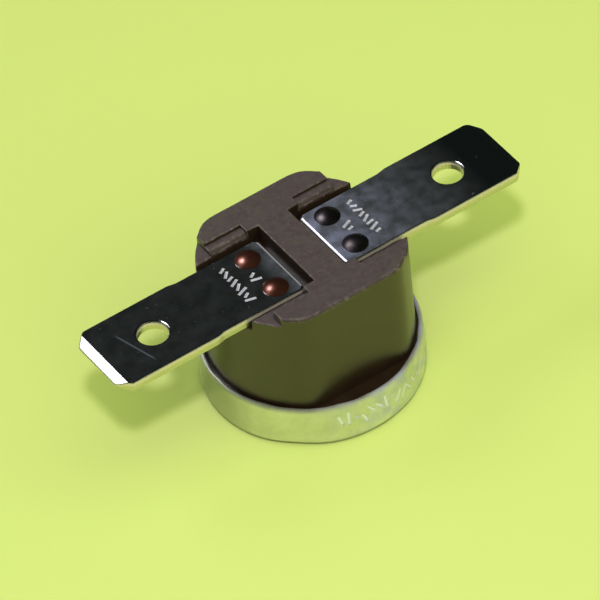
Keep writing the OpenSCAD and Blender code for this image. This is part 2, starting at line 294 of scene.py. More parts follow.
def bodyOutline(body):
    # points round the wall, with one exactly on each line that cuts the head
    def point(angle):
        reach = flattenedRound(angle, body["wall"], body["flat"], body["blend"])
        return Vector((reach * math.cos(angle), reach * math.sin(angle), 0))

    fine = [point(2 * math.pi * i / 7200) for i in range(7200)]
    exact = []
    for axis, value in cutLines(body):
        for i in range(7200):
            u, v = fine[i - 1][axis] - value, fine[i][axis] - value
            if u * v <= 0 and u != v:
                spot = fine[i - 1].lerp(fine[i], u / (u - v))
                spot[axis] = value
                exact.append(spot)
    regular = [point(2 * math.pi * (i + 0.5) / body["points"]) for i in range(body["points"])]
    regular = [p for p in regular if min((p - q).length for q in exact) > body["clear"]]
    return sorted(regular + exact, key=lambda p: math.atan2(p.y, p.x))


def headLevel(patch, corner, body):
    # height of the head at one corner of a patch of the plan, known by the patch's middle
    x, y, lipTo = abs(patch.x), patch.y, body["pocket"] + body["lip"]
    if x > body["bar"] and abs(y) < body["pocket"]:
        return body["floor"]
    if x > body["block"]:
        return body["end"]
    if x > body["ledgeFrom"] and body["pocket"] < y < lipTo:
        return body["ledge"] if corner.y > lipTo - 0.01 else body["ledge"] - body["lip"]
    if x > body["ledgeFrom"] and body["pocket"] < y < body["ledgeTo"]:
        return body["ledge"]
    if x > body["ledgeFrom"] and body["reliefTo"] < y < -body["pocket"]:
        return body["end"]
    return body["top"]


def buildHead(body):
    # the plan is cut along the head's lines, each patch goes to its level, and walls join them
    plan = bmesh.new()
    plan.faces.new([plan.verts.new(p) for p in bodyOutline(body)])
    for axis, value in cutLines(body):
        normal, place = Vector((0, 0, 0)), Vector((0, 0, 0))
        normal[axis], place[axis] = 1, value
        sliceAcross(plan, place, normal)
    level = {(f, v): round(headLevel(f.calc_center_median(), v.co, body), 4)
             for f in plan.faces for v in f.verts}
    base = {v: {body["foot"]} if v.is_boundary else set() for v in plan.verts}
    heights = {v: sorted(base[v] | {level[f, v] for f in v.link_faces}) for v in plan.verts}
    taper = math.tan(math.radians(body["draft"]))
    bm = bmesh.new()
    made, rim = {}, set()
    for v in plan.verts:
        for z in heights[v]:
            shrink = 1 - taper * (z - body["foot"]) / v.co.length if v.is_boundary else 1
            made[v, z] = bm.verts.new((v.co.x * shrink, v.co.y * shrink, z))
            if v.is_boundary:
                rim.add(made[v, z])
    for face in plan.faces:
        bm.faces.new([made[v, level[face, v]] for v in face.verts])
    for edge in plan.edges:
        left, right = edge.verts
        sides = [(level[f, left], level[f, right]) for f in edge.link_faces]
        sides += [(body["foot"], body["foot"])] if edge.is_boundary else []
        (leftLow, rightLow), (leftHigh, rightHigh) = sorted(sides)
        if (leftLow, rightLow) != (leftHigh, rightHigh):
            rise = [made[left, z] for z in heights[left] if leftLow <= z <= leftHigh]
            fall = [made[right, z] for z in reversed(heights[right]) if rightLow <= z <= rightHigh]
            bm.faces.new(rise + fall)
    plan.free()
    inner = [v for v in bm.verts if v not in rim]
    seams = [e for e in bm.edges if not (e.verts[0] in rim and e.verts[1] in rim)]
    bmesh.ops.recalc_face_normals(bm, faces=bm.faces)
    bmesh.ops.dissolve_limit(bm, angle_limit=math.radians(0.3), verts=inner, edges=seams)
    sliceAcross(bm, (0, 0, body["floor"] - body["ringBelow"]), (0, 0, 1))
    return bm


def closeBelow(bm, body):
    # flange, underside and chamber follow the wall's foot down and in
    foot = [v for v in bm.verts if abs(v.co.z - body["foot"]) < 1e-5]
    ring = sorted(foot, key=lambda v: math.atan2(v.co.y, v.co.x))
    noFlat = 99  # mm, so far out that the circle stays whole
    angles = [math.atan2(v.co.y, v.co.x) for v in ring]
    rows = [
        (body["flange"] - body["flangeLean"], noFlat, body["foot"]),
        (body["flange"], noFlat, body["flangeKnee"]),
        (body["flange"], noFlat, body["flangeFrom"]),
        (body["chamber"], body["chamberFlat"], body["flangeFrom"]),
        (body["chamber"], body["chamberFlat"], body["roof"]),
    ]
    for radius, flat, z in rows:
        reach = [flattenedRound(a, radius, flat, 0.02) for a in angles]
        below = [bm.verts.new((r * math.cos(a), r * math.sin(a), z)) for r, a in zip(reach, angles)]
        for i in range(len(ring)):
            bm.faces.new((ring[i - 1], ring[i], below[i], below[i - 1]))
        ring = below
    bm.faces.new(ring)
    bmesh.ops.recalc_face_normals(bm, faces=bm.faces)


def cutAndRib(holder):
    # rivet holes through the roof, and the ribs beside the riveted strips
    body = bodySize
    corners = [(sx, sy) for sx in (-1, 1) for sy in (-1, 1)]
    middle, sunk = (body["ribFrom"] + body["ribTo"]) / 2, body["ribSunk"]
    size = Matrix.Diagonal((body["ribLength"], body["ribTo"] - body["ribFrom"], body["ribDepth"] + sunk, 1))
    ribs = bmesh.new()
    for sx, sy in corners:
        level = body["roof"] - body["ribDepth"] / 2 + sunk / 2
        place = Matrix.Translation((sx * body["rivetX"], sy * middle, level))
        bmesh.ops.create_cube(ribs, size=1, matrix=place @ size)
    spots = [(sx * body["rivetX"], sy * body["rivetY"]) for sx, sy in corners]
    extras = [rivetBores(spots, body["rivetHole"], body["roof"] + 0.5, 4), helperObject("ribs", ribs)]
    for operation, item in zip(("DIFFERENCE", "UNION"), extras):
        combine(holder, operation, item)
    return extras


def mouldRadius(edge):
    # how round each edge of the head came from the mould
    body = bodySize
    if min(v.co.z for v in edge.verts) < body["floor"] - 0.01 or edge.calc_face_angle(0) < math.radians(28):
        return 0
    middle = (edge.verts[0].co + edge.verts[1].co) / 2
    if math.hypot(abs(middle.x) - body["rivetX"], abs(middle.y) - body["rivetY"]) < body["rivetHole"] + 0.1:
        return 0
    if edge.calc_face_angle_signed(0) < 0:
        return 0
    wall = (body["wall"], body["flat"], body["blend"])
    reach = [v.co.xy.length - flattenedRound(math.atan2(v.co.y, v.co.x), *wall) for v in edge.verts]
    upright = abs(edge.verts[0].co.z - edge.verts[1].co.z) > 0.01
    if min(reach) > -0.07 and not upright and middle.z > body["top"] - 0.1:
        return body["outerRound"]
    offLip = abs(middle.y - body["pocket"] - body["lip"] / 2) - body["lip"] / 2
    if offLip < 0.01 and middle.z < body["ledge"] + 0.01:
        return body["lipRound"]
    return body["innerRound"]


def phenolic(add):
    # moulded phenolic: a brown-black resin, a dark gloss on the drafted walls where it left
    # polished steel, and browner, dusty satin with fine mottled filler on top; noise scales are per
    # metre, and the filler's specks of 0.4 mm are drawn coarser than real ones, to show
    place = add("ShaderNodeTexCoord")["Object"]
    spot = add("ShaderNodeSeparateXYZ", {"Vector": place})
    normal = add("ShaderNodeNewGeometry")["Normal"]
    upward = add("ShaderNodeSeparateXYZ", {"Vector": normal})["Z"]
    facing = add("ShaderNodeMapRange", {"Value": upward, "From Min": 0.35, "From Max": 0.95})[0]
    high = add("ShaderNodeMapRange", {"Value": spot["Z"], **between(*bodySize["dust"])})[0]
    handled = add("ShaderNodeMath", {0: facing, 1: high}, operation="MULTIPLY")[0]
    # painted shade: the pockets' walls get no shine and more roughness, so they stay dark as if shaded
    aside = add("ShaderNodeMath", {0: spot["Y"]}, operation="ABSOLUTE")[0]
    inside = add("ShaderNodeMath", {0: aside, 1: bodySize["pocketSide"] * mm}, operation="LESS_THAN")[0]
    pocket = add("ShaderNodeMath", {0: inside, 1: high}, operation="MULTIPLY")[0]
    sunk = add("ShaderNodeMath", {0: pocket, 1: handled}, operation="SUBTRACT", use_clamp=True)[0]
    shine = add("ShaderNodeMapRange", {"Value": sunk, "To Min": 0.5, "To Max": 0.1})[0]
    filler = add("ShaderNodeTexNoise", {"Vector": place, "Scale": 2600, "Detail": 4, "Roughness": 0.65})[0]
    cloud = add("ShaderNodeTexNoise", {"Vector": place, "Scale": 700, "Detail": 3})[0]
    shifted = add("ShaderNodeVectorMath", {0: place, 1: (0.03, 0.01, 0)}, operation="ADD")[0]
    tint = add("ShaderNodeTexNoise", {"Vector": shifted, "Scale": 1100, "Detail": 3})[0]
    brown = add("ShaderNodeValToRGB", {"Fac": filler}, stops=[
        (0.3, "#382d2f"), (0.55, "#45393a"), (0.8, "#5c4c4c")])[0]
    plum = add("ShaderNodeValToRGB", {"Fac": cloud}, stops=[(0.35, "#45393c"), (0.65, "#494138")])[0]
    tinted = add("ShaderNodeMapRange", {"Value": tint, "From Min": 0.4, "From Max": 0.65, "To Max": 0.8})[0]
    dusty = add("ShaderNodeMix", {0: tinted, 6: brown, 7: plum}, data_type="RGBA")[2]
    deep = add("ShaderNodeValToRGB", {"Fac": cloud}, stops=[(0.3, "#22170e"), (0.7, "#2a1e12")])[0]
    colour = add("ShaderNodeMix", {0: handled, 6: deep, 7: dusty}, data_type="RGBA")[2]
    # painted highlight: the head's rounded edges are lightened in patches, for the light they catch
    onRound = add("ShaderNodeAttribute", attribute_name="roundedFaces")["Fac"]
    highlightPatches = add("ShaderNodeMapRange", {
        "Value": filler, "From Min": 0.48, "From Max": 0.7, "To Min": 0.05, "To Max": 0.65})[0]
    edgeHighlight = add("ShaderNodeMath", {0: onRound, 1: highlightPatches}, operation="MULTIPLY")[0]
    headEdgeHighlight = add("ShaderNodeMath", {0: edgeHighlight, 1: high}, operation="MULTIPLY")[0]
    highlighted = add("ShaderNodeMix", {0: headEdgeHighlight, 6: colour, 7: fromHex("#776b66")}, data_type="RGBA")[2]
    ripple = add("ShaderNodeMapRange", {"Value": cloud, "To Min": 0.27, "To Max": 0.36})[0]
    gloss = add("ShaderNodeMix", {0: handled, 2: ripple, 3: 0.56}, data_type="FLOAT")[0]
    gloss = add("ShaderNodeMath", {0: sunk, 1: 0.5, 2: gloss}, operation="MULTIPLY_ADD")[0]
    grit = add("ShaderNodeMath", {0: filler, 1: handled}, operation="MULTIPLY")[0]
    bump = add("ShaderNodeBump", {"Height": grit, "Strength": 0.35, "Distance": 0.03 * mm})[0]
    return {"Base Color": highlighted, "Roughness": gloss, "Specular IOR Level": shine, "IOR": 1.7, "Normal": bump}


headMesh = buildHead(bodySize)
closeBelow(headMesh, bodySize)
whole = bmesh.new()
cut = plainMesh("body_cut", headMesh, cutAndRib)
whole.from_mesh(cut)
bodyMesh = roundEdges("body_moulding", whole, mouldRadius, bodySize["outerRound"])
addPiece("body_moulding", toMetres(bodyMesh), newMaterial("phenolic moulding", phenolic),
         ["body"], weigh=True)
print("body built")


# cap: a drawn aluminium cup with its rim rolled in

capSize = {  # mm and degrees
    "radius": 7.948, "sheet": 0.28, "height": 3.55, "corner": 0.45, "lean": 0.07, "rimFrom": 3.1,
    "segments": 720, "rollSteps": 46, "rollDepth": 0.085, "rollDrop": 0.04,  # short flats that the rolling left
    "dent": (-133, 22, 0.35),  # middle, half width, and extra corner radius
    "handled": 0.03,  # depth of the wall's slow waves
    "marksFrom": -112, "marksTo": -38, "markPitch": 0.6, "markMiddle": 2.0, "markDepth": 0.09,
    "seed": 4,
    # where the finish and the painted shade change: levels on the wall, and places along the line of the blades
    "footShade": (0.1, 0.5), "rim": (3.2, 3.45), "leftShade": (-7.1, -7.95), "bloom": (-5, 2),
}


def punchDepth(angle, z, cap):
    # a row of plain punched strokes and dots round the wall, each leaning its own way
    first, last = math.radians(cap["marksFrom"]), math.radians(cap["marksTo"])
    if not first < angle < last:
        return 0
    along = (angle - first) * cap["radius"]
    index = int(along / cap["markPitch"])
    dice = random.Random(cap["seed"] * 100 + index)
    lean, half = dice.uniform(-0.9, 0.9), dice.choice((0, 0.2, 0.35, 0.5))
    x = along - (index + 0.5) * cap["markPitch"]
    y = z - cap["markMiddle"] - dice.uniform(-0.3, 0.3)
    length = min(max(x * math.sin(lean) + y * math.cos(lean), -half), half)
    gap = math.hypot(x - length * math.sin(lean), y - length * math.cos(lean))
    return cap["markDepth"] * (1 - ease((gap - 0.05) / 0.11))


def buildCap(cap):
    outer, inner, top = cap["radius"], cap["radius"] - cap["sheet"], cap["height"]
    dice = random.Random(cap["seed"])
    knots = [(dice.random(), dice.random()) for _ in range(cap["rollSteps"])]

    def rolled(angle):
        # how far the rim was pushed in and down here, from 0 to 1 each
        t = (angle / (2 * math.pi) % 1) * cap["rollSteps"]
        i = int(t)
        left, right = knots[i % len(knots)], knots[(i + 1) % len(knots)]
        return [u + (v - u) * (t - i) for u, v in zip(left, right)]

    def handled(angle, z):
        spot = Vector((math.cos(angle) * 3.2, math.sin(angle) * 3.2, z * 0.5))
        return cap["handled"] * max(noise.noise(spot) + 0.4 * noise.noise(spot * 3), 0)

    def cornerRadius(angle):
        middle, half, extra = cap["dent"]
        off = (math.degrees(angle) - middle + 180) % 360 - 180
        return cap["corner"] + extra * (1 - ease(abs(off) / half))

    rows = []  # each gives radius and height for an angle
    for i in range(9):
        s, t = math.sin(math.pi / 16 * i), math.cos(math.pi / 16 * i)
        rows.append(lambda a, s=s, t=t: (outer - cornerRadius(a) * (1 - s), cornerRadius(a) * (1 - t)))
    foot = cap["corner"] + cap["dent"][2]
    for i in range(1, 45):
        z = foot + (cap["rimFrom"] - foot) * i / 44
        rows.append(lambda a, z=z, k=i / 44: (
            outer - punchDepth(a, z, cap) - handled(a, z) * math.sin(math.pi * k)
            - 0.4 * cap["rollDepth"] * rolled(a)[0] * k ** 4, z))
    lip = [
        (outer - 0.02, top - 0.26, 0.6), (outer - 0.055, top - 0.14, 0.8), (outer - 0.085, top - 0.06, 1),
        (outer - 0.13, top - 0.012, 1), (outer - 0.19, top, 1), (inner - 0.005, top - 0.012, 1),
        (inner - 0.05, top - 0.05, 1), (inner - cap["lean"], top - 0.13, 1),
    ]
    for r, z, k in lip:
        rows.append(lambda a, r=r, z=z, k=k: (
            r - k * cap["rollDepth"] * rolled(a)[0], z - k * cap["rollDrop"] * rolled(a)[1]))
    for r, z in ((inner, cap["rimFrom"] - 0.15), (inner, cap["corner"]), (inner - 0.1, cap["sheet"] + 0.04),
                 (inner - 0.2, cap["sheet"])):
        rows.append(lambda a, r=r, z=z: (r, z))

    bm = bmesh.new()
    count = cap["segments"]
    angles = [-math.pi + 2 * math.pi * (i + 0.5) / count for i in range(count)]
    rings = []
    for row in rows:
        spots = zip(angles, [row(a) for a in angles])
        rings.append([bm.verts.new((r * math.cos(a), r * math.sin(a), z)) for a, (r, z) in spots])
    for lower, upper in zip(rings, rings[1:]):
        for i in range(count):
            bm.faces.new((lower[i - 1], lower[i], upper[i], upper[i - 1]))
    bm.faces.new(reversed(rings[0]))
    bm.faces.new(rings[-1])
    bmesh.ops.recalc_face_normals(bm, faces=bm.faces)
    mesh = plainMesh("cap_drawn", bm, lambda holder: None)
    punched = [punchDepth(math.atan2(v.co.y, v.co.x), v.co.z, cap) / cap["markDepth"]
               if v.co.xy.length > inner + 0.1 else 0 for v in mesh.vertices]
    mesh.attributes.new("punched", "FLOAT", "POINT").data.foreach_set("value", punched)
    return mesh


def drawnAluminium(add):
    # drawn aluminium: a soft satin grey that takes up the floor's colour, streaked up the wall by
    # the die, in lines of 0.25 mm that are drawn coarser than real ones, and clouded by handling
    place = add("ShaderNodeTexCoord")["Object"]
    upright = add("ShaderNodeMapping", {"Vector": place, "Scale": (1, 1, 0.08)})[0]
    streak = add("ShaderNodeTexNoise", {"Vector": upright, "Scale": 4200, "Detail": 3})[0]
    cloud = add("ShaderNodeTexNoise", {"Vector": place, "Scale": 420, "Detail": 4, "Roughness": 0.65})[0]
    bloom = add("ShaderNodeTexNoise", {"Vector": place, "Scale": 620, "Detail": 3})[0]
    spot = add("ShaderNodeSeparateXYZ", {"Vector": place})
    bright = add("ShaderNodeValToRGB", {"Fac": cloud}, stops=[(0.32, "#d0d2c8"), (0.64, "#e6e8e1")])[0]
    # painted shade: the wall darkens towards the foot, where the cap meets the table
    unshadedFoot = add("ShaderNodeMapRange", {"Value": spot["Z"], **between(*capSize["footShade"])})[0]
    bright = add("ShaderNodeMix", {0: unshadedFoot, 6: fromHex("#5c6148"), 7: bright}, data_type="RGBA")[2]
    # painted shade: the side under the left terminal is darker
    leftShade = add("ShaderNodeMapRange", {"Value": spot["X"], **between(*capSize["leftShade"]), "To Max": 0.6})[0]
    bright = add("ShaderNodeMix", {0: leftShade, 6: bright, 7: fromHex("#868d6c")}, data_type="RGBA")[2]
    # a thin bluish bloom of oxide in patches, more of it on the right
    most = add("ShaderNodeMapRange", {"Value": spot["X"], **between(*capSize["bloom"]), "To Max": 0.8})[0]
    bloomAndHighlight = add("ShaderNodeMapRange", {
        "Value": bloom, "From Min": 0.4, "From Max": 0.62, "To Max": most})[0]
    # painted highlight: the punched strokes are made near-white and less metallic, for the light their flanks
    # catch
    punched = add("ShaderNodeAttribute", attribute_name="punched")["Fac"]
    bloomAndHighlight = add("ShaderNodeMath", {0: punched, 1: 0.9, 2: bloomAndHighlight},
                  operation="MULTIPLY_ADD", use_clamp=True)[0]
    # painted highlight: part of the bloom's pale colour goes onto the rolled lip, most on the right, for the
    # whitish highlights along the rim
    rim = add("ShaderNodeMapRange", {"Value": spot["Z"], **between(*capSize["rim"])})[0]
    lip = add("ShaderNodeMath", {0: rim, 1: most}, operation="MULTIPLY")[0]
    bloomAndHighlight = add("ShaderNodeMath", {0: lip, 1: 0.25, 2: bloomAndHighlight},
                  operation="MULTIPLY_ADD", use_clamp=True)[0]
    colour = add("ShaderNodeMix", {0: bloomAndHighlight, 6: bright, 7: fromHex("#b2b8c8")}, data_type="RGBA")[2]
    colour = add("ShaderNodeMix", {0: punched, 6: colour, 7: fromHex("#eef0f6")}, data_type="RGBA")[2]
    metal = add("ShaderNodeMapRange", {"Value": bloomAndHighlight, "To Min": 0.9, "To Max": 0.4})[0]
    satin = add("ShaderNodeMapRange", {
        "Value": cloud, "From Min": 0.3, "From Max": 0.7, "To Min": 0.32, "To Max": 0.46})[0]
    rough = add("ShaderNodeMath", {0: rim, 1: 0.2, 2: satin}, operation="MULTIPLY_ADD")[0]
    dimple = add("ShaderNodeTexNoise", {"Vector": place, "Scale": 1300, "Detail": 2})[0]
    relief = add("ShaderNodeMath", {0: dimple, 1: 3, 2: streak}, operation="MULTIPLY_ADD")[0]
    bump = add("ShaderNodeBump", {"Height": relief, "Strength": 0.35, "Distance": 0.02 * mm})[0]
    return {"Base Color": colour, "Metallic": metal, "Roughness": rough, "Normal": bump}


addPiece("cap_drawn", toMetres(buildCap(capSize)), newMaterial("drawn aluminium", drawnAluminium),
         ["cap"], crease=50)
print("cap built")


# terminals: stamped blades, tin plated

bladeSize = {  # mm and degrees
    "inner": 1.74, "tip": 16.975, "low": 10.4, "high": 11.2, "neck": 3.0, "blade": 3.15,
    "swellFrom": 8.35, "swellRun": 0.9, "innerRound": 0.42, "tipCut": 0.9, "tipRound": 0.45,
    "hole": 12.375, "holeRadius": 1.09, "rivetX": 3.35, "rivetY": 1.7, "rivetHole": 0.65,
    "bevel": 0.65, "bevelDepth": 0.3, "rollSteps": 5,
    "sideRoll": 0.12, "tipRoll": 0.06, "holeRoll": 0.2, "burrEdge": 0.04,  # edge radii of the blank
    # the inner end is pressed down: how far in and how far down, from the side to the top
    "endShape": [(0, 0.24), (0.02, 0.14), (0.05, 0.08), (0.09, 0.045), (0.15, 0.01), (0.2, 0)],
    # where the finish changes: levels on the sheared sides, distances from the middle, and the scratch
    "torn": (10.86, 10.96), "ragged": 0.16, "hazeAndSheen": (2, 15.5), "innerHaze": (2, 3.4),
    "scratchAt": (14.08, 0.45), "scratchTurn": 75, "scratchEnds": (1.5, 2.1), "scratchSides": (0.04, 0.1),
}


def roundedCorner(before, at, after, radius, steps):
    before, at, after = (Vector(p) for p in (before, at, after))
    u, v = (before - at).normalized(), (after - at).normalized()
    half = u.angle(v) / 2
    start, end = at + u * (radius / math.tan(half)), at + v * (radius / math.tan(half))
    middle = at + (u + v).normalized() * (radius / math.sin(half))
    spokes = [(start - middle).lerp(end - middle, i / steps).normalized() for i in range(steps + 1)]
    return [middle + spoke * radius for spoke in spokes]


def bladeOutline(blade):
    # half the outline, from the inner end round to the tip
    n, w, cut = blade["neck"], blade["blade"], blade["tipCut"]
    tipA, tipB = (blade["tip"] - cut, w), (blade["tip"], w - cut)
    chain = [Vector((blade["inner"], 0))]
    chain += [Vector((blade["inner"], n * k / 8)) for k in range(2, 7)]
    chain += roundedCorner((blade["inner"], 0), (blade["inner"], n), (5, n), blade["innerRound"], 8)
    chain += [Vector((3 + k, n)) for k in range(5)]
    for i in range(9):
        chain.append(Vector((blade["swellFrom"] + blade["swellRun"] * i / 8, n + (w - n) * ease(i / 8))))
    chain += [Vector((10 + k, w)) for k in range(6)]
    chain += roundedCorner((10, w), tipA, tipB, blade["tipRound"], 6)
    chain += roundedCorner(tipA, tipB, (blade["tip"], 0), blade["tipRound"], 6)
    return chain + [Vector((blade["tip"], (w - cut) * k / 4)) for k in (3, 2, 1, 0)]


def edgeRings(chain, radii, ends, blade):
    # the edge of the blank as rings of points, from its burr below to its rolled edge on top
    before = [Vector((chain[1].x, -chain[1].y))] + chain[:-1]
    after = chain[1:] + [Vector((chain[-2].x, -chain[-2].y))]
    inward = []
    for a, p, b in zip(before, chain, after):
        u, v = (p - a).normalized(), (b - p).normalized()
        inward.append(Vector((u.y + v.y, -u.x - v.x)) / (1 + u.dot(v)))
    burr = blade["burrEdge"]
    rings = [[(p + n * burr, blade["low"]) for p, n in zip(chain, inward)],
             [(p, blade["low"] + burr) for p in chain]]
    for k in range(blade["rollSteps"] + 1):
        turn = math.pi / 2 * k / blade["rollSteps"]
        pressed = Vector(blade["endShape"][k])
        ring = []
        for p, n, r, e in zip(chain, inward, radii, ends):
            inset, drop = Vector((r - r * math.cos(turn), r - r * math.sin(turn))).lerp(pressed, e)
            ring.append((p + n * inset, blade["high"] - drop))
        rings.append(ring)
    return rings


def buildBlade(name, blade, side):
    shoulder = blade["tip"] - blade["bevel"]
    outline = bladeOutline(blade)
    radii = [blade["sideRoll"] + (blade["tipRoll"] - blade["sideRoll"]) * ease((p.x - shoulder) / 0.3 + 1)
             for p in outline]
    ends = [1 - ease((p.x - blade["inner"]) / blade["innerRound"]) for p in outline]
    around = [math.pi * i / 36 for i in range(37)]
    lock = [Vector((blade["hole"] + blade["holeRadius"] * math.cos(a), blade["holeRadius"] * math.sin(a)))
            for a in around]
    edge = edgeRings(outline, radii, ends, blade)
    hole = edgeRings(lock, [blade["holeRoll"]] * len(lock), [0] * len(lock), blade)
    bm = bmesh.new()
    for flip in (1, -1):
        made = [[[bm.verts.new((p.x * side, p.y * flip, z)) for p, z in ring] for ring in rings]
                for rings in (edge, hole)]
        for rings in made:
            for lower, upper in zip(rings, rings[1:]):
                for i in range(1, len(lower)):
                    bm.faces.new((lower[i - 1], lower[i], upper[i], upper[i - 1]))
        for k in (0, -1):
            bm.faces.new(made[0][k] + made[1][k])
    bmesh.ops.remove_doubles(bm, verts=bm.verts, dist=1e-4)
    bmesh.ops.recalc_face_normals(bm, faces=bm.faces)
    sliceAcross(bm, (shoulder * side, 0, 0), (1, 0, 0))
    middle, half = (blade["low"] + blade["high"]) / 2, (blade["high"] - blade["low"]) / 2
    for v in bm.verts:
        past = max(abs(v.co.x) - shoulder, 0) / blade["bevel"]
        v.co.z = middle + (v.co.z - middle) * (1 - past * blade["bevelDepth"] / half)

    def pierce(holder):
        spots = [(side * blade["rivetX"], sy * blade["rivetY"]) for sy in (-1, 1)]
        bores = rivetBores(spots, blade["rivetHole"], middle, 2)
        combine(holder, "DIFFERENCE", bores)
        return [bores]

    return plainMesh(name, bm, pierce)


def tinPlate(add):
    # tin plated brass strip: a cool dark mirror with slow waves, hazed where it was riveted and stamped, the
    # haze carrying a painted bluish sheen; its sheared sides are burnished in the upper part and torn below,
    # the burnished part a painted cream reflection
    blade = bladeSize
    place = add("ShaderNodeTexCoord")["Object"]
    spot = add("ShaderNodeSeparateXYZ", {"Vector": place})
    normal = add("ShaderNodeNewGeometry")["Normal"]
    upward = add("ShaderNodeSeparateXYZ", {"Vector": normal})["Z"]
    flat = add("ShaderNodeMath", {0: upward}, operation="ABSOLUTE")[0]
    sheared = add("ShaderNodeMapRange", {
        "Value": flat, "From Min": 0.1, "From Max": 0.3, "To Min": 1, "To Max": 0})[0]
    ragged = add("ShaderNodeTexNoise", {"Vector": place, "Scale": 900, "Detail": 4})[0]
    lifted = add("ShaderNodeMath", {
        0: ragged, 1: blade["ragged"] * mm, 2: spot["Z"]}, operation="MULTIPLY_ADD")[0]
    torn = add("ShaderNodeMapRange", {"Value": lifted, **between(*blade["torn"]), "To Min": 1, "To Max": 0})[0]
    tear = add("ShaderNodeMath", {0: sheared, 1: torn}, operation="MULTIPLY")[0]
    cloud = add("ShaderNodeTexNoise", {"Vector": place, "Scale": 300, "Detail": 5, "Roughness": 0.6})[0]
    grain = add("ShaderNodeTexNoise", {"Vector": place, "Scale": 2600, "Detail": 3})[0]
    # haze: strongest at the inner ends, and more of it on the right-hand blade; it also sets where the painted
    # bluish sheen goes
    out = add("ShaderNodeMath", {0: spot["X"]}, operation="ABSOLUTE")[0]
    fading = add("ShaderNodeMapRange", {
        "Value": out, **between(*blade["hazeAndSheen"]), "To Min": 0.66, "To Max": -0.08})[0]
    inner = add("ShaderNodeMapRange", {
        "Value": out, **between(*blade["innerHaze"]), "To Min": 0.35, "To Max": 0.08},
        interpolation_type="SMOOTHSTEP")[0]
    right = add("ShaderNodeMath", {0: spot["X"], 1: 0.0}, operation="GREATER_THAN")[0]
    hazed = add("ShaderNodeMix", {0: right, 2: inner, 3: fading}, data_type="FLOAT")[0]
    patchy = add("ShaderNodeMapRange", {
        "Value": ragged, "From Min": 0.35, "From Max": 0.65, "To Min": 0.65, "To Max": 1.35})[0]
    level = add("ShaderNodeMapRange", {"Value": flat, "From Min": 0.95, "From Max": 0.99})[0]
    hazeAndSheen = add("ShaderNodeMath", {0: hazed, 1: patchy}, operation="MULTIPLY")[0]
    dust = add("ShaderNodeMapRange", {"Value": grain, "From Min": 0.68, "From Max": 0.76, "To Max": 0.35})[0]
    hazeAndSheen = add("ShaderNodeMath", {0: hazeAndSheen, 1: dust}, operation="ADD")[0]
    hazeAndSheen = add("ShaderNodeMath", {0: hazeAndSheen, 1: level}, operation="MULTIPLY")[0]
    struck = add("ShaderNodeAttribute", attribute_name="struck")["Fac"]
    hazeAndSheen = add("ShaderNodeMath", {0: hazeAndSheen, 1: struck}, operation="MAXIMUM")[0]
    # one long scratch across the left blade
    turned = add("ShaderNodeMapping", {
        "Vector": place, "Location": (blade["scratchAt"][0] * mm, blade["scratchAt"][1] * mm, 0)})[0]
    turned = add("ShaderNodeVectorRotate", {
        "Vector": turned, "Angle": math.radians(blade["scratchTurn"])}, rotation_type="Z_AXIS")[0]
    scratch = add("ShaderNodeSeparateXYZ", {"Vector": turned})
    ends = add("ShaderNodeMath", {0: scratch["X"]}, operation="ABSOLUTE")[0]
    ends = add("ShaderNodeMapRange", {
        "Value": ends, **between(*blade["scratchEnds"]), "To Min": 1, "To Max": 0})[0]
    width = add("ShaderNodeMath", {0: scratch["Y"]}, operation="ABSOLUTE")[0]
    width = add("ShaderNodeMapRange", {
        "Value": width, **between(*blade["scratchSides"]), "To Min": 0.42, "To Max": 0})[0]
    scored = add("ShaderNodeMath", {0: ends, 1: width}, operation="MULTIPLY")[0]
    hazeAndSheen = add("ShaderNodeMath", {0: hazeAndSheen, 1: scored}, operation="MAXIMUM")[0]
    # painted reflection: the haze is coloured bluish, for the bluish window light it scatters
    base = add("ShaderNodeValToRGB", {"Fac": hazeAndSheen}, stops=[(0, "#adb1b0"), (1, "#b3bbe4")])[0]
    # painted highlight: the struck grooves are made near-white, for the light their flanks catch
    base = add("ShaderNodeMix", {0: struck, 6: base, 7: fromHex("#eceefc")}, data_type="RGBA")[2]
    # painted reflection: the burnished upper band of the sheared sides is a less metallic cream, for the cream
    # light its edge reflects
    side = add("ShaderNodeMix", {0: tear, 6: fromHex("#d8cfb4"), 7: fromHex("#d3d1bd")}, data_type="RGBA")[2]
    shade = add("ShaderNodeMix", {0: sheared, 6: base, 7: side}, data_type="RGBA")[2]
    metal = add("ShaderNodeMapRange", {"Value": hazeAndSheen, "To Min": 1, "To Max": 0.7})[0]
    burnishedSheen = add("ShaderNodeMath", {0: sheared, 1: tear}, operation="SUBTRACT")[0]
    metal = add("ShaderNodeMath", {0: burnishedSheen, 1: -0.65, 2: metal}, operation="MULTIPLY_ADD")[0]
    gloss = add("ShaderNodeMapRange", {"Value": hazeAndSheen, "To Min": 0.1, "To Max": 0.42})[0]
    rolled = add("ShaderNodeMapRange", {"Value": flat, "From Min": 0.85, "From Max": 0.6, "To Max": 0.33})[0]
    matt = add("ShaderNodeMath", {0: rolled, 1: gloss}, operation="ADD")[0]
    relief = add("ShaderNodeMix", {0: tear, 2: cloud, 3: grain}, data_type="FLOAT")[0]
    bump = add("ShaderNodeBump", {"Height": relief, "Strength": 0.2, "Distance": 0.015 * mm})[0]
    return {"Base Color": shade, "Metallic": metal, "Roughness": matt, "Normal": bump}


markSize = {  # mm; plain struck strokes beside the rivets
    "strokeLength": 1.05, "strokeRadius": 0.12, "above": 0.055, "level": 11.2,
    "rowX": 5.35, "rowFrom": -1.6, "rowStep": 0.5, "pairX": 3.95, "pairStep": 0.5,
    "reach": 6.6, "spread": 2.7, "sunk": (0.002, 0.1),  # faces within these are the grooves
}


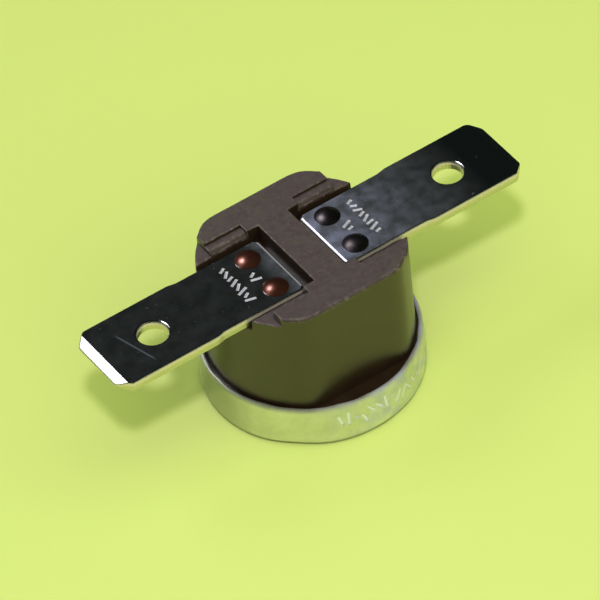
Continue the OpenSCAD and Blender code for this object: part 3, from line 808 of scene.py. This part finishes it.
def strokeTree(material):
    # cuts a row of eight strokes and a pair of strokes into the blade that comes in
    tree = bpy.data.node_groups.new("struck strokes", "GeometryNodeTree")
    add = partial(addNode, tree)
    tree.interface.new_socket("Geometry", in_out="INPUT", socket_type="NodeSocketGeometry")
    tree.interface.new_socket("Geometry", in_out="OUTPUT", socket_type="NodeSocketGeometry")
    for name in ("strokeLength", "strokeRadius", "height", "rowX", "rowFrom", "rowStep", "pairX", "pairFrom",
                 "pairStep"):
        tree.interface.new_socket(name, in_out="INPUT", socket_type="NodeSocketFloat")
    tree.interface.new_socket("seed", in_out="INPUT", socket_type="NodeSocketInt")
    given = add("NodeGroupInput")
    half = add("ShaderNodeMath", {0: given["strokeLength"], 1: 0.5}, operation="MULTIPLY")[0]
    back = add("ShaderNodeMath", {0: half, 1: -1.0}, operation="MULTIPLY")[0]
    line = add("GeometryNodeCurvePrimitiveLine", {
        "Start": add("ShaderNodeCombineXYZ", {"X": back})[0],
        "End": add("ShaderNodeCombineXYZ", {"X": half})[0]})[0]
    ring = add("GeometryNodeCurvePrimitiveCircle", {"Resolution": 12, "Radius": given["strokeRadius"]})[0]
    stroke = add("GeometryNodeCurveToMesh", {"Curve": line, "Profile Curve": ring, "Fill Caps": True})[0]
    strokes = add("GeometryNodeJoinGeometry")[0]
    for count, group in ((8, "row"), (2, "pair")):
        start = add("ShaderNodeCombineXYZ", {
            "X": given[group + "X"], "Y": given[group + "From"], "Z": given["height"]})[0]
        offset = add("ShaderNodeCombineXYZ", {"Y": given[group + "Step"]})[0]
        spots = add("GeometryNodeMeshLine", {"Count": count, "Start Location": start, "Offset": offset})[0]
        turn = add("FunctionNodeRandomValue", {
            0: (0, 0, -0.6), 1: (0, 0, 0.9), "Seed": given["seed"]}, data_type="FLOAT_VECTOR")[0]
        length = add("FunctionNodeRandomValue", {
            0: (0.4, 1, 1), 1: (1, 1, 1), "Seed": given["seed"]}, data_type="FLOAT_VECTOR")[0]
        placed = add("GeometryNodeInstanceOnPoints", {
            "Points": spots, "Instance": stroke, "Rotation": turn, "Scale": length})[0]
        tree.links.new(placed, strokes.node.inputs[0])
    tools = add("GeometryNodeRealizeInstances", {"Geometry": strokes})[0]
    struck = add("GeometryNodeMeshBoolean", {0: given["Geometry"], 1: tools, "Self Intersection": True},
                 operation="DIFFERENCE", solver="EXACT")[0]
    real = add("GeometryNodeRealizeInstances", {"Geometry": struck})[0]
    painted = add("GeometryNodeSetMaterial", {"Geometry": real, "Material": material})[0]
    add("NodeGroupOutput", {0: painted})
    return tree


def giveInputs(modifier, values):
    # sets a node tree's inputs by their identifiers
    for item in modifier.node_group.interface.items_tree:
        if item.in_out == "INPUT" and item.name in values:
            modifier[item.identifier] = values[item.name]


def markBlade(name, mesh, tree, mark, side, seed):
    values = dict(mark)
    values.update({
        "height": mark["level"] + mark["above"], "rowX": side * mark["rowX"], "pairX": side * mark["pairX"],
        "pairFrom": -mark["pairStep"] / 2, "seed": seed})

    def modify(holder):
        modifier = holder.modifiers.new("strokes", "NODES")
        modifier.node_group = tree
        giveInputs(modifier, values)

    bm = bmesh.new()
    bm.from_mesh(mesh)
    marked = plainMesh(name, bm, modify)
    least, most = mark["sunk"]
    grooves = [float(abs(f.center.x) < mark["reach"] and abs(f.center.y) < mark["spread"]
                     and least < mark["level"] - f.center.z < most) for f in marked.polygons]
    marked.attributes.new("struck", "FLOAT", "FACE").data.foreach_set("value", grooves)
    return marked


tinMaterial = newMaterial("tin plate", tinPlate)
strokes = strokeTree(tinMaterial)
for sideName, side, seed in (("left", -1, 3), ("right", 1, 8)):
    blank = buildBlade("blank_" + sideName, bladeSize, side)
    blade = markBlade("blade_" + sideName, blank, strokes, markSize, side, seed)
    addPiece("blade_" + sideName, toMetres(blade), tinMaterial, ["terminal_" + sideName],
             crease=22, weigh=True)
print("terminals built")


# rivets: one node tree makes the two headed rivets of a side

rivetSize = {  # mm
    "headRadius": 0.925, "headHeight": 0.42, "headEdge": 0.06, "shankRadius": 0.6,
    "footRadius": 1.0, "footHeight": 0.4, "footTaper": 0.15,
    "spacing": 3.4, "placeX": 3.35, "headLevel": 11.2,
}
footLevel = {"left": 8.2, "right": 8.0}


def rivetTree(material):
    tree = bpy.data.node_groups.new("two rivets", "GeometryNodeTree")
    add = partial(addNode, tree)
    tree.interface.new_socket("Geometry", in_out="OUTPUT", socket_type="NodeSocketGeometry")
    for name in ("headRadius", "headEdge", "headMiddle", "sphereRadius", "sphereMiddle", "shankRadius",
                 "shankLength", "shankMiddle", "footRadius", "footBottom", "footHeight", "footLevel",
                 "placeX", "startY", "spacing"):
        tree.interface.new_socket(name, in_out="INPUT", socket_type="NodeSocketFloat")
    given = add("NodeGroupInput")
    # a low disc whose upper face is lifted onto a sphere
    disc = add("GeometryNodeMeshCylinder", {
        "Vertices": 72, "Side Segments": 1, "Fill Segments": 14, "Radius": given["headRadius"],
        "Depth": given["headEdge"]})["Mesh"]
    spot = add("ShaderNodeSeparateXYZ", {"Vector": add("GeometryNodeInputPosition")[0]})
    flat = add("ShaderNodeCombineXYZ", {"X": spot["X"], "Y": spot["Y"]})[0]
    reach = add("ShaderNodeVectorMath", {0: flat}, operation="LENGTH")["Value"]
    square = add("ShaderNodeMath", {0: reach, 1: 2}, operation="POWER")[0]
    full = add("ShaderNodeMath", {0: given["sphereRadius"], 1: 2}, operation="POWER")[0]
    left = add("ShaderNodeMath", {0: full, 1: square}, operation="SUBTRACT")[0]
    rise = add("ShaderNodeMath", {0: left}, operation="SQRT")[0]
    lift = add("ShaderNodeMath", {0: rise, 1: given["sphereMiddle"]}, operation="SUBTRACT")[0]
    above = add("FunctionNodeCompare", {0: spot["Z"], 1: 0.0}, operation="GREATER_THAN")[0]
    offset = add("ShaderNodeCombineXYZ", {"Z": lift})[0]
    dome = add("GeometryNodeSetPosition", {"Geometry": disc, "Selection": above, "Offset": offset})[0]
    shank = add("GeometryNodeMeshCylinder", {
        "Vertices": 48, "Radius": given["shankRadius"], "Depth": given["shankLength"]})["Mesh"]
    foot = add("GeometryNodeMeshCone", {
        "Vertices": 48, "Radius Top": given["footRadius"], "Radius Bottom": given["footBottom"],
        "Depth": given["footHeight"]})["Mesh"]
    rivet = add("GeometryNodeJoinGeometry")[0]
    for part, level in ((dome, "headMiddle"), (shank, "shankMiddle"), (foot, "footLevel")):
        place = add("ShaderNodeCombineXYZ", {"Z": given[level]})[0]
        part = add("GeometryNodeTransform", {"Geometry": part, "Translation": place})[0]
        tree.links.new(part, rivet.node.inputs[0])
    start = add("ShaderNodeCombineXYZ", {"X": given["placeX"], "Y": given["startY"]})[0]
    step = add("ShaderNodeCombineXYZ", {"Y": given["spacing"]})[0]
    holes = add("GeometryNodeMeshLine", {"Count": 2, "Start Location": start, "Offset": step})[0]
    placed = add("GeometryNodeInstanceOnPoints", {"Points": holes, "Instance": rivet})[0]
    real = add("GeometryNodeRealizeInstances", {"Geometry": placed})[0]
    painted = add("GeometryNodeSetMaterial", {"Geometry": real, "Material": material})[0]
    add("NodeGroupOutput", {0: painted})
    return tree


def headedCopper(dark, light, metallic, rough, relief, coat=()):
    # cold-headed copper in patches of 0.7 mm, under a thin clear lacquer or gone dark with oxide
    def paint(add):
        place = add("ShaderNodeTexCoord")["Object"]
        patch = add("ShaderNodeTexNoise", {"Vector": place, "Scale": 1500, "Detail": 4})[0]
        colour = add("ShaderNodeValToRGB", {"Fac": patch}, stops=[(0.3, dark), (0.7, light)])[0]
        shine = add("ShaderNodeMapRange", {
            "Value": patch, "From Min": 0.3, "From Max": 0.7, "To Min": rough[0], "To Max": rough[1]})[0]
        bump = add("ShaderNodeBump", {"Height": patch, "Strength": relief, "Distance": 0.02 * mm})[0]
        return {"Base Color": colour, "Metallic": metallic, "Roughness": shine, "Normal": bump, **dict(coat)}
    return paint


def buildRivets(name, rivet, side, foot, material):
    rise = rivet["headHeight"] - rivet["headEdge"]
    ball = (rivet["headRadius"] ** 2 + rise ** 2) / (2 * rise)
    values = dict(rivet)
    values.update({
        "headMiddle": rivet["headLevel"] + rivet["headEdge"] / 2,
        "sphereRadius": ball, "sphereMiddle": ball - rise,
        "shankLength": rivet["headLevel"] - foot, "shankMiddle": (rivet["headLevel"] + foot) / 2,
        "footBottom": rivet["footRadius"] - rivet["footTaper"], "footLevel": foot,
        "placeX": side * rivet["placeX"], "startY": -rivet["spacing"] / 2})

    def modify(holder):
        modifier = holder.modifiers.new("rivets", "NODES")
        modifier.node_group = rivetTree(material)
        giveInputs(modifier, {key: value * mm for key, value in values.items()})

    return plainMesh(name, bmesh.new(), modify)


lacquer = {"Coat Weight": 1, "Coat Roughness": 0.22, "Coat IOR": 1.5}
lacquered = headedCopper("#5c3326", "#834b39", 0.9, (0.38, 0.3), 0.25, lacquer)
oxidised = headedCopper("#3a3536", "#5e595b", 1, (0.38, 0.38), 0.3)
rivetFinish = {
    "left": (-1, newMaterial("headed copper", lacquered), "copper_rivet"),
    "right": (1, newMaterial("oxidised copper", oxidised), "plated_rivet"),
}
for sideName, (side, material, slotName) in rivetFinish.items():
    mesh = buildRivets("rivets_" + sideName, rivetSize, side, footLevel[sideName], material)
    addPiece("rivets_" + sideName, mesh, material,
             [f"rivet_{sideName}_far", f"rivet_{sideName}_near"])
print("rivets placed")


# inner pieces

def rolledMetal(light, dark, rough, scale):
    # a rolled or pressed metal with lengthwise rolling lines, drawn coarse enough to show
    def paint(add):
        place = add("ShaderNodeTexCoord")["Object"]
        rolled = add("ShaderNodeMapping", {"Vector": place, "Scale": (0.08, 1, 1)})[0]
        lines = add("ShaderNodeTexNoise", {"Vector": rolled, "Scale": scale, "Detail": 4})[0]
        colour = add("ShaderNodeValToRGB", {"Fac": lines}, stops=[(0.3, dark), (0.7, light)])[0]
        bump = add("ShaderNodeBump", {"Height": lines, "Strength": 0.3, "Distance": 0.01 * mm})[0]
        return {"Base Color": colour, "Metallic": 1, "Roughness": rough, "Normal": bump}
    return paint


def grainedBody(light, dark, rough, ior, scale):
    # a moulded or fired body, its fine grain drawn coarse enough to show
    def paint(add):
        place = add("ShaderNodeTexCoord")["Object"]
        grain = add("ShaderNodeTexNoise", {"Vector": place, "Scale": scale, "Detail": 5})[0]
        colour = add("ShaderNodeValToRGB", {"Fac": grain}, stops=[(0.35, dark), (0.7, light)])[0]
        bump = add("ShaderNodeBump", {"Height": grain, "Strength": 0.3, "Distance": 0.02 * mm})[0]
        return {"Base Color": colour, "Roughness": rough, "IOR": ior, "Normal": bump}
    return paint


innerFinish = {
    "bimetal_disc": ("rolled bimetal", rolledMetal("#b8b1a2", "#8f887c", 0.3, 3000)),
    "pin_guide": ("guide moulding", grainedBody("#453b39", "#2a2322", 0.42, 1.6, 1800)),
    "transfer_pin": ("fired steatite", grainedBody("#efeade", "#ddd6c6", 0.5, 1.58, 2400)),
    "moving_contact": ("contact silver", rolledMetal("#e6e4de", "#c9c7c1", 0.26, 2000)),
    "fixed_contact": ("fixed contact silver", rolledMetal("#e6e4de", "#c9c7c1", 0.26, 2000)),
    "contact_bracket": ("half-hard brass", rolledMetal("#d9b96a", "#b8964d", 0.3, 2600)),
}
for node, (title, paint) in innerFinish.items():
    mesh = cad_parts[node].data
    mesh.materials.clear()
    mesh.materials.append(newMaterial(title, paint))

# mm, and lean in degrees, the angle chosen so that the arm's riveted pad above stays still
armBend = {"from": -4.8, "to": -0.9, "level": 6.6, "lean": 53, "slice": 0.25, "end": 4.3}


def buildArm(bend):
    # the arm's CAD shape, merged and sliced across between root and pin, finely enough for a bend
    bm = bmesh.new()
    bm.from_mesh(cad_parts["contact_arm"].data)
    bmesh.ops.remove_doubles(bm, verts=bm.verts, dist=1e-7)
    bmesh.ops.dissolve_limit(bm, angle_limit=math.radians(1), verts=bm.verts, edges=bm.edges)
    x = bend["from"] + bend["slice"]
    while x < bend["end"]:
        sliceAcross(bm, (x * mm, 0, 0), (1, 0, 0), 1e-7)
        x += bend["slice"]
    bmesh.ops.recalc_face_normals(bm, faces=bm.faces)
    return plainMesh("contact_arm_spring", bm, lambda holder: None)


bronze = newMaterial("spring bronze", rolledMetal("#c9986a", "#a8754a", 0.28, 3000))
arm = addPiece("contact_arm_spring", buildArm(armBend), bronze, ["contact_arm"], crease=30,
               body=None)
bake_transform(arm)
print("inner pieces finished")
